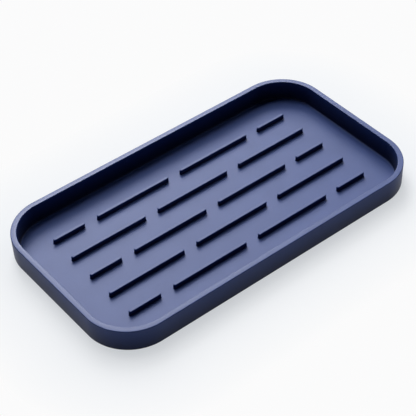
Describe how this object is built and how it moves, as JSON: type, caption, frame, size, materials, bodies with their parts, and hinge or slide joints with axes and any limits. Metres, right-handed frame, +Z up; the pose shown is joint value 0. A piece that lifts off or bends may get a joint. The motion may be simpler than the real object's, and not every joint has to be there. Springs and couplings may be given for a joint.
{
  "type": "sink tray",
  "caption": "Shallow rounded-rectangle silicone tray with a low wall and staggered raised ribs on its floor, to drain a sponge, brush or soap bottle beside a sink.",
  "frame": {"origin": "centre of the flat base, where it stands", "axes": "+X along the tray's length, +Y across it towards the back, +Z up out of the well"},
  "size_m": [0.255, 0.14, 0.0165],
  "materials": {
    "navy_silicone": "satin, finely grained moulded silicone"
  },
  "bodies": {
    "root": {"tray": "navy_silicone", "rib_back_left": "navy_silicone", "rib_back_left_end": "navy_silicone", "rib_back_right": "navy_silicone", "rib_back_right_end": "navy_silicone", "rib_centre_left": "navy_silicone", "rib_centre_left_end": "navy_silicone", "rib_centre_right": "navy_silicone", "rib_centre_right_end": "navy_silicone", "rib_front_left": "navy_silicone", "rib_front_left_end": "navy_silicone", "rib_front_right": "navy_silicone", "rib_front_right_end": "navy_silicone", "rib_mid_back_left": "navy_silicone", "rib_mid_back_middle": "navy_silicone", "rib_mid_back_right": "navy_silicone", "rib_mid_front_left": "navy_silicone", "rib_mid_front_middle": "navy_silicone", "rib_mid_front_right": "navy_silicone"}
  },
  "joints": []
}
